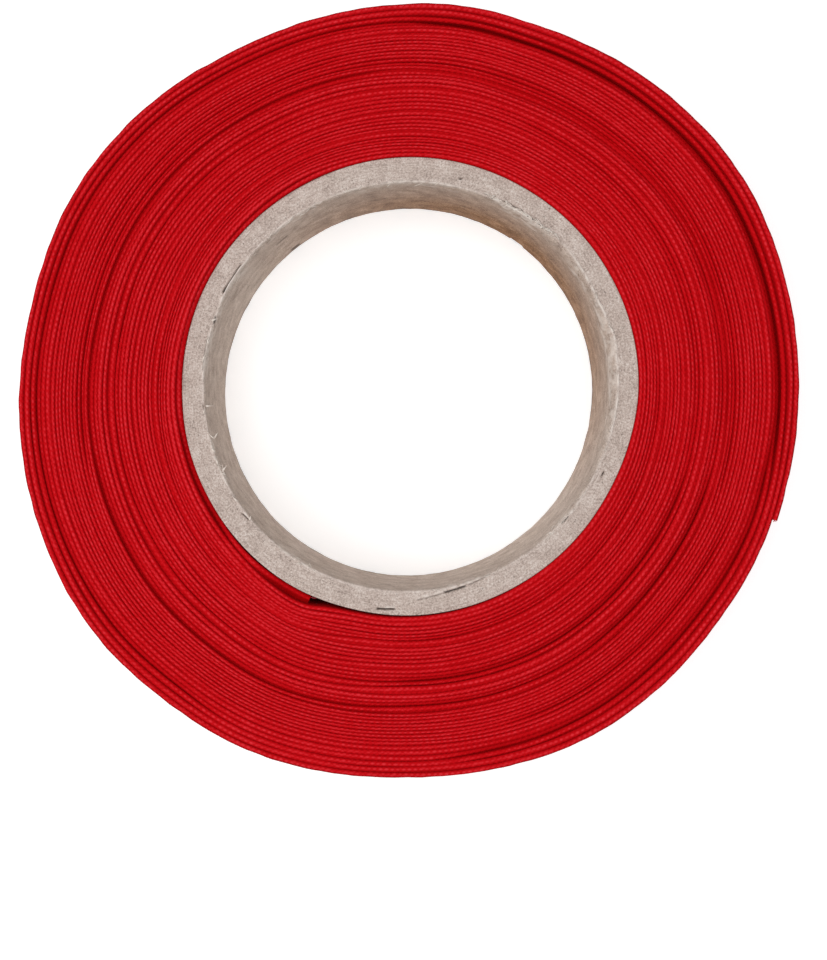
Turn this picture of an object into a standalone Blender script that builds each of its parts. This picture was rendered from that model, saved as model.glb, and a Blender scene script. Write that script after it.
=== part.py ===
"""Roll of bias binding: a long strip of folded cotton wound on a cardboard core, lying on its side.

The axis of the roll is Z, the side it lies on is at Z = 0, and the origin is on the core's axis.
Angles are in degrees, counted anticlockwise from +X as seen from above. Lengths are in metres,
apart from those in a table or a name that says mm. Seen from above, the binding runs clockwise
from its start on the core to its outer end, so a turn followed anticlockwise spirals inwards.
"""

import math
from collections import namedtuple

import bmesh
import bpy

MM = 0.001

# Cardboard core: a paper tube for a two-inch spindle, cut a little shorter than the binding is wide.
CORE_BORE_RADIUS = 0.0254
CORE_WALL = 0.0029
CORE_HEIGHT = 0.0178
CORE_EDGE_ROUNDING = 0.0003
CORE_STEPS = 96

# Binding: its folded width, and where its first turn starts and its last one ends.
BINDING_WIDTH = 0.018
FOLD_ROUNDING = 0.00025
CORE_CLEARANCE = 0.0003
FIRST_TURN_RADIUS = CORE_BORE_RADIUS + CORE_WALL + CORE_CLEARANCE
START_ANGLE = 245
END_ANGLE = 340

# The turns lie in groups, from the core outwards. A turn of a group adds pitch_mm, and an opening
# parts each group from the next.
Group = namedtuple("Group", "name turns pitch_mm opening_mm")
GROUPS = (
    Group("first", 7, 0.428, 0.39),
    Group("inner", 5, 0.455, 0.25),
    Group("lower middle", 5, 0.549, 0.30),
    Group("upper middle", 4, 0.524, 0.22),
    Group("tight", 10, 0.449, 0.12),
    Group("outer", 2, 0.648, 0.00),
    Group("loose", 4, 0.640, 0.05),
)
SLACK_ON_CORE_MM = 0.2

# Some turns have sunk a little, and leave a spiral groove in the face. A groove lies so many turns
# from the core where it opens, and closes sweep_deg further on, anticlockwise. The turns between
# it and the next groove inwards stand rise_mm above the binding's width.
Groove = namedtuple("Groove", "at_turn rise_mm width_mm depth_mm opens_deg sweep_deg")
GROOVES = (
    Groove(6.8, 0.15, 0.35, 0.6, 300, 340),
    Groove(15.8, -0.05, 0.55, 1.0, 235, 170),
    Groove(20.6, 0.05, 0.55, 1.2, 85, 290),
    Groove(22.7, 0.18, 0.40, 0.6, 90, 100),
    Groove(27.5, 0.00, 0.40, 0.5, 280, 60),
    Groove(32.4, 0.05, 0.55, 2.0, 275, 85),
    Groove(33.4, 0.00, 0.60, 2.5, 335, 270),
)
OUTSIDE_RISE_MM = 0.15
GROOVE_FADE_DEG = 35
UNDERSIDE_GROOVE_SHARE = 0.6

# Where a turn has gone right round, it climbs over the turn below: steeply next to the core, and
# ever more gently towards the outside.
START_CLIMB_DEG = 12
OUTER_CLIMB_DEG = 45

# How loosely the turns are packed at each angle, as a share of the pitches above. It makes the
# roll bulge at the lower left and right, and lie flatter at the upper left.
Looseness = namedtuple("Looseness", "angle_deg share")
LOOSENESS = (
    Looseness(0, 1.009),
    Looseness(15, 1.017),
    Looseness(32, 1.034),
    Looseness(50, 1.007),
    Looseness(70, 0.968),
    Looseness(82, 0.973),
    Looseness(98, 0.950),
    Looseness(117, 0.934),
    Looseness(133, 0.963),
    Looseness(150, 0.984),
    Looseness(168, 0.979),
    Looseness(186, 1.011),
    Looseness(200, 1.037),
    Looseness(218, 1.063),
    Looseness(232, 1.051),
    Looseness(243, 1.054),
    Looseness(258, 1.039),
    Looseness(270, 1.033),
    Looseness(296, 1.073),
    Looseness(312, 1.054),
    Looseness(322, 1.036),
    Looseness(337, 1.031),
    Looseness(345, 1.017),
)

# The edges of the turns also rise and fall a little around the roll.
FACE_WAVE_MM = 0.06

# Loft: one section every few degrees, and one close to each side of the two steps.
SECTION_STEP_DEG = 3
STEP_HALF_WIDTH_DEG = 0.15
SHARP_EDGE_DEG = 35

# Finish: colour, roughness.
CARDBOARD = ((0.50, 0.42, 0.37), 0.90)
RED_COTTON = ((0.44, 0.006, 0.009), 0.85)


def clear_scene():
    """Removes every object, and the collections that they leave behind."""
    for obj in list(bpy.data.objects):
        bpy.data.objects.remove(obj, do_unlink=True)
    for collection in list(bpy.data.collections):
        bpy.data.collections.remove(collection)


def finish_material(name, finish):
    """A plain Principled material from a (colour, roughness) pair."""
    colour, roughness = finish
    material = bpy.data.materials.new(name)
    material.use_nodes = True
    material.diffuse_color = (*colour, 1.0)
    shader = material.node_tree.nodes["Principled BSDF"]
    shader.inputs["Base Color"].default_value = (*colour, 1.0)
    shader.inputs["Roughness"].default_value = roughness
    shader.inputs["Metallic"].default_value = 0.0
    return material


def add_object(name, mesh, collection, material):
    """An object of its own for one sub-part."""
    obj = bpy.data.objects.new(name, mesh)
    collection.objects.link(obj)
    mesh.materials.append(material)
    return obj


def eased(share):
    """0 to 1 with level ends, for a share that may lie outside 0 to 1."""
    share = min(max(share, 0.0), 1.0)
    return share * share * (3 - 2 * share)


def built_up():
    """How far each turn's inner side lies from the first turn's, in millimetres, at the pitches of
    GROUPS. The last value is the outer side of the last turn."""
    reached = [SLACK_ON_CORE_MM]
    for group in GROUPS:
        for _ in range(group.turns):
            reached.append(reached[-1] + group.pitch_mm)
        reached[-1] += group.opening_mm
    return reached


TURN_DEPTHS_MM = built_up()
TURNS = len(TURN_DEPTHS_MM) - 1


def looseness(angle):
    """LOOSENESS at any angle, on a smooth curve through its rows that closes round the circle."""
    rows = len(LOOSENESS)
    for k in range(rows):
        before, low, high, after = (LOOSENESS[(k + offset) % rows] for offset in (-1, 0, 1, 2))
        span = (high.angle_deg - low.angle_deg) % 360
        past = (angle - low.angle_deg) % 360
        if past < span:
            break
    part = past / span
    slope_in = (high.share - before.share) / ((high.angle_deg - before.angle_deg) % 360) * span
    slope_out = (after.share - low.share) / ((after.angle_deg - low.angle_deg) % 360) * span
    bend = part * (1 - part) * (slope_in * (1 - part) - slope_out * part)
    straight = low.share + (high.share - low.share) * eased(part)
    return straight + bend


def climb(turn, angle):
    """How much of its climb over the turn below a turn has made at an angle, 0 to 1."""
    width = START_CLIMB_DEG + (OUTER_CLIMB_DEG - START_CLIMB_DEG) * turn / TURNS
    wound = (START_ANGLE - angle) % 360
    return eased(1 - (360 - wound) / width)


def turn_radius(turn, angle):
    """The radius of a turn's inner side. A part of a turn is a place on the climb to the next."""
    whole = min(int(turn), TURNS - 1)
    low, high = TURN_DEPTHS_MM[whole : whole + 2]
    depth = low + (high - low) * (turn - whole)
    return FIRST_TURN_RADIUS + depth * looseness(angle) * MM


def outline_radius(angle):
    """The outer side of the roll. It steps in by one turn where the binding's outer end is cut."""
    past_the_end = 0 < (END_ANGLE - angle) % 360 < END_ANGLE - START_ANGLE
    turns = TURNS - 1 + climb(TURNS, angle) if past_the_end else TURNS
    return turn_radius(turns, angle)


def wall_radius(angle):
    """The inner side of the winding. It lies on the core, and leaves it only where the first turn
    climbs over the binding's own start."""
    first_turn_mm = GROUPS[0].pitch_mm * looseness(angle)
    return FIRST_TURN_RADIUS + climb(0, angle) * first_turn_mm * MM


def groove_turn(groove, angle):
    """Where a groove lies at an angle, in turns from the core. Past the binding's start it is one
    turn nearer the core, and where it is closed it comes back out."""
    past = (angle - groove.opens_deg) % 360
    to_start = (START_ANGLE - groove.opens_deg) % 360
    if past <= to_start or groove.sweep_deg <= to_start:
        return groove.at_turn
    if past <= groove.sweep_deg:
        return groove.at_turn - 1 + climb(groove.at_turn, angle)
    return groove.at_turn - 1 + eased((past - groove.sweep_deg) / (360 - groove.sweep_deg))


def groove_opening(groove, angle):
    """How far a groove is open at an angle, 0 to 1."""
    past = (angle - groove.opens_deg) % 360
    return eased(min(past, groove.sweep_deg - past) / GROOVE_FADE_DEG)


def face_height(rise_mm, angle):
    """The height of the turns' edges, which waves a little round the roll."""
    turned = math.radians(angle)
    wave = math.sin(2 * turned + rise_mm * 20) + 0.6 * math.sin(5 * turned + rise_mm * 30)
    return BINDING_WIDTH + (rise_mm + FACE_WAVE_MM * wave) * MM


def winding_section(angle):
    """One closed section of the wound binding, as (radius, height) points: outwards along the
    underside, up the outer side, inwards over the face and down to the core."""
    inner = wall_radius(angle)
    outer = outline_radius(angle)
    height = face_height(GROOVES[0].rise_mm, angle)
    underside = [(inner, FOLD_ROUNDING), (inner + FOLD_ROUNDING, 0.0)]
    face = [(inner, height - FOLD_ROUNDING), (inner + FOLD_ROUNDING, height)]
    rises_outside = [groove.rise_mm for groove in GROOVES[1:]] + [OUTSIDE_RISE_MM]
    for groove, rise_outside in zip(GROOVES, rises_outside):
        height_outside = face_height(rise_outside, angle)
        centre = turn_radius(groove_turn(groove, angle), angle)
        half_width = groove.width_mm * MM / 2
        low, high = centre - half_width, centre + half_width
        floor_low, floor_high = centre - half_width / 2, centre + half_width / 2
        depth = groove_opening(groove, angle) * groove.depth_mm * MM
        floor = min(height, height_outside) - depth
        face += [(low, height), (floor_low, floor), (floor_high, floor), (high, height_outside)]
        height = height_outside
    ceiling = depth * UNDERSIDE_GROOVE_SHARE
    underside += [(low, 0.0), (floor_low, ceiling), (floor_high, ceiling), (high, 0.0)]
    underside += [(outer - FOLD_ROUNDING, 0.0), (outer, FOLD_ROUNDING)]
    face += [(outer - FOLD_ROUNDING, height), (outer, height - FOLD_ROUNDING)]
    return underside + face[::-1]


def section_angles():
    """The angles of the loft's sections, with one close to each side of the two steps."""
    angles = set(range(0, 360, SECTION_STEP_DEG)) - {START_ANGLE, END_ANGLE}
    for step in (START_ANGLE, END_ANGLE):
        angles |= {step - STEP_HALF_WIDTH_DEG, step + STEP_HALF_WIDTH_DEG}
    return sorted(angles)


def wound_binding_mesh():
    """A closed loft of the winding's sections right round the axis."""
    bm = bmesh.new()
    rings = []
    for angle in section_angles():
        across, along = math.cos(math.radians(angle)), math.sin(math.radians(angle))
        rings.append([bm.verts.new((r * across, r * along, z)) for r, z in winding_section(angle)])
    for ring, following in zip(rings, rings[1:] + rings[:1]):
        for k, corner in enumerate(ring):
            above = (k + 1) % len(ring)
            bm.faces.new((corner, following[k], following[above], ring[above]))
    mesh = bpy.data.meshes.new("wound_binding")
    bm.to_mesh(mesh)
    bm.free()
    mesh.shade_smooth()
    mesh.set_sharp_from_angle(angle=math.radians(SHARP_EDGE_DEG))
    return mesh


def core_profile_mesh():
    """The closed outline of the tube's wall at +X, outer side first, from top to bottom."""
    inner = CORE_BORE_RADIUS
    outer = CORE_BORE_RADIUS + CORE_WALL
    edge = CORE_EDGE_ROUNDING
    outline = [
        (outer, CORE_HEIGHT - edge),
        (outer, edge),
        (outer - edge, 0.0),
        (inner + edge, 0.0),
        (inner, edge),
        (inner, CORE_HEIGHT - edge),
        (inner + edge, CORE_HEIGHT),
        (outer - edge, CORE_HEIGHT),
    ]
    mesh = bpy.data.meshes.new("cardboard_core")
    edges = [(k, (k + 1) % len(outline)) for k in range(len(outline))]
    mesh.from_pydata([(r, 0.0, z) for r, z in outline], edges, [])
    return mesh


def turn_round_axis(obj):
    """Sweeps a profile once round Z."""
    screw = obj.modifiers.new("turned", "SCREW")
    screw.axis = "Z"
    screw.steps = CORE_STEPS
    screw.render_steps = CORE_STEPS
    screw.use_merge_vertices = True
    screw.merge_threshold = 0.00001
    screw.use_smooth_shade = True


def build():
    clear_scene()
    roll = bpy.data.collections.new("bias_binding_roll")
    bpy.context.scene.collection.children.link(roll)
    core = add_object("cardboard_core", core_profile_mesh(), roll, finish_material("cardboard", CARDBOARD))
    turn_round_axis(core)
    add_object("wound_binding", wound_binding_mesh(), roll, finish_material("red_cotton", RED_COTTON))


build()
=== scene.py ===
"""The roll of bias binding as it looks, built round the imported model. Lengths whose name ends in
mm are in millimetres. Angles are in degrees, anticlockwise from +X as seen from above."""

import math
from collections import namedtuple

import bpy
import numpy as np
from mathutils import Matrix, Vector, noise


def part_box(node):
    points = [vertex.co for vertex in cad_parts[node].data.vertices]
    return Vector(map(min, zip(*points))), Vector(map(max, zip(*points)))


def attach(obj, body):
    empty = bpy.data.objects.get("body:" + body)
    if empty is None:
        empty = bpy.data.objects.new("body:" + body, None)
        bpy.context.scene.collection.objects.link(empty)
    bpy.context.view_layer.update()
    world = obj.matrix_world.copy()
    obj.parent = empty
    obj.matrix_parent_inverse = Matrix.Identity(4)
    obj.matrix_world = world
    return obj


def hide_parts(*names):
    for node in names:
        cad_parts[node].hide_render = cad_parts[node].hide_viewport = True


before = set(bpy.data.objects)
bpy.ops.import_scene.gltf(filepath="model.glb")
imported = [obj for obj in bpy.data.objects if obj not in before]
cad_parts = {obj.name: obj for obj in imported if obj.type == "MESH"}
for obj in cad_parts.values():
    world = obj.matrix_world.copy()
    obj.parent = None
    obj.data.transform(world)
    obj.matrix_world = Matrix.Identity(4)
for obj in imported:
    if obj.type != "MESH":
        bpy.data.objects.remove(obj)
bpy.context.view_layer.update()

# ---- Cardboard core -------------------------------------------------------------------------
# A two-inch tube wound from strips of recycled grey board. A knife cuts it to length, which
# leaves a torn, pale burr round the bore. In use it has been pressed a little oval.

MM = 0.001
CORE_NAME = "core_tube"
BORE_RADIUS_MM = 25.4
CORE_TOP_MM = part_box("cardboard_core")[1].z / MM
BORE_OVAL_MM = 0.11
CORE_OVAL_DEG = 43
CORE_STEPS = 1080
OUTER_WALL_ROWS = 4
RIM_ROWS = 36
BORE_ROWS = 28
RIM_ROUNDING_MM = 0.18

# The pressed outline of the core: its outer radius round the roll.
Outline = namedtuple("Outline", "angle_deg outer_mm")
OUTLINE = (
    Outline(0, 28.74),
    Outline(30, 28.81),
    Outline(60, 28.74),
    Outline(90, 28.68),
    Outline(120, 28.37),
    Outline(150, 28.31),
    Outline(180, 28.25),
    Outline(195, 28.43),
    Outline(210, 28.56),
    Outline(225, 28.72),
    Outline(240, 28.80),
    Outline(255, 28.62),
    Outline(270, 28.56),
    Outline(285, 28.43),
    Outline(300, 28.31),
    Outline(330, 28.25),
    Outline(345, 28.43),
)

# How wide the torn bevel is between the flat of the rim and the bore. It goes further down than
# across, and its rows are shares of its width.
Bevel = namedtuple("Bevel", "angle_deg wide_mm")
BEVELS = (
    Bevel(0, 0.75),
    Bevel(7, 0.75),
    Bevel(13, 0.95),
    Bevel(20, 0.70),
    Bevel(24, 0.50),
    Bevel(29, 0.55),
    Bevel(40, 0.75),
    Bevel(47, 0.60),
    Bevel(56, 0.35),
    Bevel(75, 0.22),
    Bevel(105, 0.22),
    Bevel(140, 0.32),
    Bevel(152, 0.45),
    Bevel(161, 0.25),
    Bevel(170, 0.32),
    Bevel(182, 0.20),
    Bevel(240, 0.22),
    Bevel(285, 0.20),
    Bevel(320, 0.28),
    Bevel(345, 0.50),
)
BEVEL_ROWS = (0.15, 0.3, 0.45, 0.6, 0.75, 0.9)
BEVEL_LEAST_DEPTH_MM = 0.2
BEVEL_STEEPNESS = 1.7

# Splits between the plies of the rim, from one angle and radius to another. Each is cut in, and
# painted dark as shade in the crack, the more so the deeper it is.
Split = namedtuple("Split", "from_deg to_deg from_mm to_mm width_mm depth_mm")
SPLITS = (
    Split(261.6, 262.7, 27.99, 27.95, 0.13, 1.6),
    Split(261.8, 266.9, 27.97, 27.80, 0.075, 1.2),
    Split(271.8, 280.0, 26.70, 26.15, 0.07, 0.25),
    Split(279.5, 286.5, 26.15, 25.95, 0.09, 0.7),
    Split(286.5, 294.0, 25.95, 25.60, 0.07, 0.25),
    Split(216.8, 220.4, 26.02, 25.78, 0.055, 0.6),
    Split(184.6, 186.6, 25.75, 25.68, 0.05, 0.4),
    Split(143.4, 153.0, 25.98, 26.05, 0.06, 0.6),
    Split(151.0, 153.4, 26.02, 26.05, 0.09, 0.9),
    Split(159.5, 162.6, 25.70, 25.60, 0.10, 0.6),
    Split(166.0, 176.0, 25.85, 25.75, 0.06, 0.3),
    Split(56.5, 63.5, 26.12, 25.86, 0.055, 0.55),
    Split(48.0, 55.8, 26.02, 25.90, 0.055, 0.5),
    Split(58.0, 61.5, 25.80, 25.70, 0.05, 0.3),
    Split(75.2, 76.6, 26.75, 26.72, 0.10, 0.8),
    Split(334.8, 337.0, 26.60, 26.75, 0.08, 0.6),
    Split(318.0, 321.5, 25.75, 25.80, 0.09, 0.5),
)
SPLIT_FADE_DEG = 0.9
SPLIT_SHALLOWEST_SHADE = 0.2

# The torn lip that stands up along the inner side of each split.
LIP_FROM_SPLIT_MM = 0.26
LIP_WIDE_MM = 0.2
LIP_HIGH_MM = 0.06
LIP_TORN_SHARE = 0.8

# Stretches of the bore's edge where the torn ply stands up as a burr.
Burr = namedtuple("Burr", "from_deg to_deg height_mm")
BURRS = (
    Burr(342, 42, 0.20),
    Burr(46, 68, 0.26),
    Burr(72, 112, 0.10),
    Burr(112, 140, 0.14),
    Burr(138, 180, 0.20),
    Burr(190, 212, 0.14),
    Burr(226, 244, 0.14),
    Burr(274, 296, 0.12),
    Burr(312, 330, 0.10),
)
BURR_FADE_DEG = 8
BURR_WIDE_MM = 0.16
BURR_LEAST_MM = 0.03
RAGGED_MEAN = 0.55
RAGGED_LIMITS = (0.05, 1.4)

# Torn ply is pale along the burr, and in patches for a few millimetres below it.
TORN_LEAST_SHARE = 0.2
TORN_FULLY_AT_MM = 0.2
TORN_BELOW_MM = 3.0
TORN_BELOW_FULLY_AT_MM = 0.28
TORN_BELOW_MOST_SHARE = 0.75
TORN_PATCHES_MEAN = 0.25

# Nicks and scuffs in the bore. Each nick is a shallow dent with painted shade in it.
Nick = namedtuple("Nick", "from_deg to_deg height_mm tall_mm")
NICKS = (
    Nick(51.5, 57.0, 0.2, 0.5),
    Nick(96.0, 102.0, 8.5, 0.25),
    Nick(100.0, 107.0, 10.5, 0.2),
    Nick(126.0, 130.0, 1.0, 0.4),
    Nick(128.0, 133.0, 11.5, 0.2),
    Nick(74.0, 78.0, 13.0, 0.2),
)
NICK_FADE_DEG = 0.8
NICK_DEEP_MM = 0.15
NICK_SHADE = 0.8

# The bore's lower edge is painted dark in patches, as shadow where it stands on the floor.
SHADOWED_FOOT_MM = 0.55
SHADOWED_FOOT_FADE_MM = 0.45
FOOT_SHADOW_SHADE = 0.6
FOOT_SHADOW_MEAN = 0.5

# How rough the board is, in layers of grains. An amount is a height in millimetres for a surface
# or a line, and a share for the burr and the patches.
Grains = namedtuple("Grains", "amount wide_mm seed")
RIM_ROUGH = (Grains(0.02, 0.3, 1), Grains(0.03, 1.2, 2), Grains(0.05, 6.0, 3))
BORE_ROUGH = (Grains(0.05, 1.6, 5), Grains(0.02, 0.5, 6))
BEVEL_EDGE_ROUGH = (Grains(0.05, 0.8, 7), Grains(0.05, 2.5, 8))
SPLIT_LINE_ROUGH = (Grains(0.05, 0.9, 12),)
BURR_RAGGED = (Grains(1.1, 0.6, 4),)
TORN_PATCHES = (Grains(1.6, 1.1, 9), Grains(1.2, 0.45, 10))
# The last layer sets the patches of the painted shadow along the bore's foot.
FOOT_SHADOW_PATCHES = (Grains(1.0, 2.0, 13),)


def eased(share):
    """0 to 1 with level ends, for shares that may lie outside 0 to 1."""
    share = np.clip(share, 0.0, 1.0)
    return share * share * (3 - 2 * share)


def stretch(angles, from_deg, to_deg, fade_deg):
    """1 along a stretch of the circle and 0 outside it, with soft ends."""
    past = (angles - from_deg) % 360
    long = (to_deg - from_deg) % 360
    return np.where(past <= long, eased(np.minimum(past, long - past) / fade_deg), 0.0)


def round_the_roll(rows, angles):
    """The second column of a table at any angles, on a smooth curve that closes on itself."""
    known = np.array([(row[0], row[1]) for row in rows], float)
    deg = np.concatenate([known[-2:, 0] - 360, known[:, 0], known[:3, 0] + 360])
    value = np.concatenate([known[-2:, 1], known[:, 1], known[:3, 1]])
    slope = np.gradient(value, deg)
    slope[1:-1] = (value[2:] - value[:-2]) / (deg[2:] - deg[:-2])
    angles = angles % 360
    k = np.searchsorted(deg, angles, side="right") - 1
    span = deg[k + 1] - deg[k]
    part = (angles - deg[k]) / span
    bend = part * (1 - part) * span
    bend = bend * (slope[k] * (1 - part) - slope[k + 1] * part)
    return value[k] + (value[k + 1] - value[k]) * eased(part) + bend


def grain(points, scale_mm, seed):
    """Smooth noise of about -1 to 1 at points in millimetres, with grains of a given size."""
    shift = Vector((seed * 17.3, seed * 5.1, seed * 9.7))
    flat = points.reshape(-1, 3) / scale_mm
    values = [noise.noise(Vector(p) + shift) for p in flat]
    return np.array(values).reshape(points.shape[:-1])


def rough(points, layers):
    """Several layers of grains added up, at points in millimetres."""
    return sum(layer.amount * grain(points, layer.wide_mm, layer.seed) for layer in layers)


def around_axis(radius_mm, height_mm, angles):
    """Points in millimetres, from polar coordinates about the roll's axis."""
    turned = np.radians(angles)
    return np.stack([radius_mm * np.cos(turned), radius_mm * np.sin(turned), height_mm], axis=-1)


def oval(angles, amount_mm):
    """How far an oval pressed like the core lies outside its circle, in millimetres."""
    return amount_mm * np.cos(2 * np.radians(angles - CORE_OVAL_DEG))


def core_surface():
    """The tube's surface as an array of sections by points, with its wear. Also how much each
    point belongs to the bore, to torn ply and to painted shade in splits, nicks and along the foot,
    each from 0 to 1."""
    angles = np.linspace(0, 360, CORE_STEPS, endpoint=False)
    ring = around_axis(BORE_RADIUS_MM, 0 * angles, angles)
    outer = round_the_roll(OUTLINE, angles) - oval(angles, BORE_OVAL_MM)
    flat_from = BORE_RADIUS_MM + round_the_roll(BEVELS, angles) + rough(ring, BEVEL_EDGE_ROUGH)
    deep = BEVEL_LEAST_DEPTH_MM + BEVEL_STEEPNESS * (flat_from - BORE_RADIUS_MM)
    top, edge = CORE_TOP_MM, RIM_ROUNDING_MM
    rows = []

    def row(radius, height, on_rim, on_bore):
        rows.append([value + 0 * angles for value in (radius, height, on_rim, on_bore)])

    row(outer - edge, 0.0, 0.0, 0.0)
    row(outer, edge, 0.0, 0.0)
    for height in np.linspace(2.0, top - 2.0, OUTER_WALL_ROWS):
        row(outer, height, 0.0, 0.0)
    row(outer, top - edge / 2, 0.3, 0.0)
    row(outer - edge / 6, top - edge / 6, 0.8, 0.0)
    for share in np.linspace(0, 1, RIM_ROWS):
        row(outer - edge / 2 + (flat_from - outer + edge / 2) * share, top, 1.0, 0.0)
    for share in BEVEL_ROWS:
        radius = flat_from - (flat_from - BORE_RADIUS_MM) * share
        row(radius, top - deep * (1 - math.sqrt(1 - share**2)), 1.0 - share, 0.3 + 0.7 * share)
    for share in np.linspace(0, 1, BORE_ROWS) ** 1.5:
        row(BORE_RADIUS_MM, top - deep - (top - deep - edge) * share, 0.0, 1.0)
    row(BORE_RADIUS_MM + edge, 0.0, 0.0, 1.0)
    row(outer - 1.0, 0.0, 0.0, 0.0)
    radius, height, on_rim, on_bore = np.array(rows).transpose(1, 2, 0)
    angles = angles[:, None] + 0 * radius
    places = around_axis(radius, height, angles)
    relief = rough(places, RIM_ROUGH)

    flat_from = flat_from[:, None]
    at_edge = np.exp(-(((radius - flat_from) / BURR_WIDE_MM) ** 2)) * (on_rim > 0)
    ragged = np.clip(RAGGED_MEAN + rough(places * (1, 1, 0), BURR_RAGGED), *RAGGED_LIMITS)
    burr_height = BURR_LEAST_MM + 0 * radius
    for burr in BURRS:
        burr_height += burr.height_mm * stretch(angles, burr.from_deg, burr.to_deg, BURR_FADE_DEG)
    relief += at_edge * ragged * burr_height
    torn = at_edge * np.clip(ragged * (TORN_LEAST_SHARE + burr_height / TORN_FULLY_AT_MM), 0, 1)
    below_edge = eased((height - top + deep[:, None] + TORN_BELOW_MM) / TORN_BELOW_MM) * on_bore
    patchy = np.clip(rough(places, TORN_PATCHES) + TORN_PATCHES_MEAN, 0, 1)
    beside_burr = np.clip(burr_height / TORN_BELOW_FULLY_AT_MM, 0, TORN_BELOW_MOST_SHARE)
    torn = np.maximum(torn, below_edge * patchy * beside_burr)

    # Painted shade in the splits and nicks, and painted shadow along the foot.
    painted_shade = 0 * radius
    off_line = rough(places, SPLIT_LINE_ROUGH)
    for split in SPLITS:
        share = np.clip(((angles - split.from_deg) % 360) / (split.to_deg - split.from_deg), 0, 1)
        line = split.from_mm + (split.to_mm - split.from_mm) * share + off_line
        along = stretch(angles, split.from_deg, split.to_deg, SPLIT_FADE_DEG)
        near = np.exp(-(((radius - line) / split.width_mm) ** 2)) * along * (on_rim > 0)
        lip = np.exp(-(((radius - line + LIP_FROM_SPLIT_MM) / LIP_WIDE_MM) ** 2)) * along * (on_rim > 0)
        relief += LIP_HIGH_MM * lip - split.depth_mm * near
        # Painted shade in the split, darker where it is deeper.
        painted_shade = np.maximum(painted_shade, near * min(1.0, SPLIT_SHALLOWEST_SHADE + split.depth_mm))
        torn = np.maximum(torn, LIP_TORN_SHARE * lip * ragged)

    # Painted shadow along the foot of the bore, in patches.
    shadow_patchiness = np.clip(FOOT_SHADOW_MEAN + rough(places, FOOT_SHADOW_PATCHES), 0, 1)
    painted_foot_shadow = eased((SHADOWED_FOOT_MM - height) / SHADOWED_FOOT_FADE_MM) * on_bore * shadow_patchiness
    painted_shade = np.maximum(painted_shade, FOOT_SHADOW_SHADE * painted_foot_shadow)
    # Painted shade in each nick.
    for nick in NICKS:
        along = stretch(angles, nick.from_deg, nick.to_deg, NICK_FADE_DEG) * on_bore
        low = np.exp(-(((height - nick.height_mm) / nick.tall_mm) ** 2)) * along
        painted_shade = np.maximum(painted_shade, NICK_SHADE * low)
        radius = radius + NICK_DEEP_MM * low
    radius = radius + oval(angles, BORE_OVAL_MM)
    radius = radius - rough(places, BORE_ROUGH) * on_bore
    height = height + relief * on_rim
    return around_axis(radius, height, angles), on_bore, torn, painted_shade


def skin(name, points, closed):
    """A mesh from an array of sections by points in millimetres. Its sections are closed loops,
    and their row is closed too, or has a cap at each end."""
    sections, around = points.shape[:2]
    vertices = points.reshape(-1, 3) * MM
    ring = np.arange(around)
    here = (np.arange(sections if closed else sections - 1) * around)[:, None]
    following = (here + around) % (sections * around)
    above = (ring + 1) % around
    quads = np.stack([here + ring, following + ring, following + above, here + above], axis=-1)
    faces = quads.reshape(-1, 4).tolist()
    if not closed:
        faces += [ring[::-1].tolist(), (ring + (sections - 1) * around).tolist()]
    mesh = bpy.data.meshes.new(name)
    mesh.from_pydata(vertices.tolist(), [], faces)
    mesh.shade_smooth()
    return mesh


def write_share(mesh, name, values):
    """Stores a number for each point of a mesh, for its material to read."""
    layer = mesh.attributes.new(name, "FLOAT", "POINT")
    layer.data.foreach_set("value", values.ravel().astype(np.float32))


def write_map(mesh, name, along_mm, across_mm):
    """Stores a flat map of a mesh's surface, in millimetres along its sections and across them."""
    flat = np.broadcast_arrays(along_mm[:, None], across_mm[None, :])
    places = np.stack(flat, axis=-1).reshape(-1, 2)
    corners = np.zeros(len(mesh.loops), int)
    mesh.loops.foreach_get("vertex_index", corners)
    mesh.uv_layers.new(name=name).data.foreach_set("uv", places[corners].ravel().astype(np.float32))


def stand(name, mesh, material):
    """Puts a piece in the scene, on the roll's only body."""
    piece = bpy.data.objects.new(name, mesh)
    bpy.context.scene.collection.objects.link(piece)
    mesh.materials.append(material)
    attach(piece, "root")
    return piece


def linear(colour):
    """An sRGB hex colour as linear red, green, blue and alpha."""
    parts = [int(colour[k : k + 2], 16) / 255 for k in (0, 2, 4)]
    return [p / 12.92 if p <= 0.04045 else ((p + 0.055) / 1.055) ** 2.4 for p in parts] + [1.0]


def node(tree, kind, inputs=None, out=0, stops=(), **settings):
    """Adds a shader node with its settings, a value or a link on each input that is given, and a
    ramp's stops, which are (position, hex colour). Gives the output that is asked for."""
    made = tree.nodes.new("ShaderNode" + kind)
    for name, value in settings.items():
        setattr(made, name, value)
    for name, value in (inputs or {}).items():
        if isinstance(value, bpy.types.NodeSocket):
            tree.links.new(value, made.inputs[name])
        else:
            made.inputs[name].default_value = value
    for _ in stops[2:]:
        made.color_ramp.elements.new(0.5)
    for k, (position, colour) in enumerate(stops):
        made.color_ramp.elements[k].position = position
        made.color_ramp.elements[k].color = linear(colour)
    return made.outputs[out]


def new_material(name, roughness, specular):
    """A material, its node tree and its Principled shader."""
    material = bpy.data.materials.new(name)
    material.use_nodes = True
    shader = material.node_tree.nodes["Principled BSDF"]
    shader.inputs["Roughness"].default_value = roughness
    shader.inputs["Specular IOR Level"].default_value = specular
    return material, material.node_tree, shader
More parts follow.
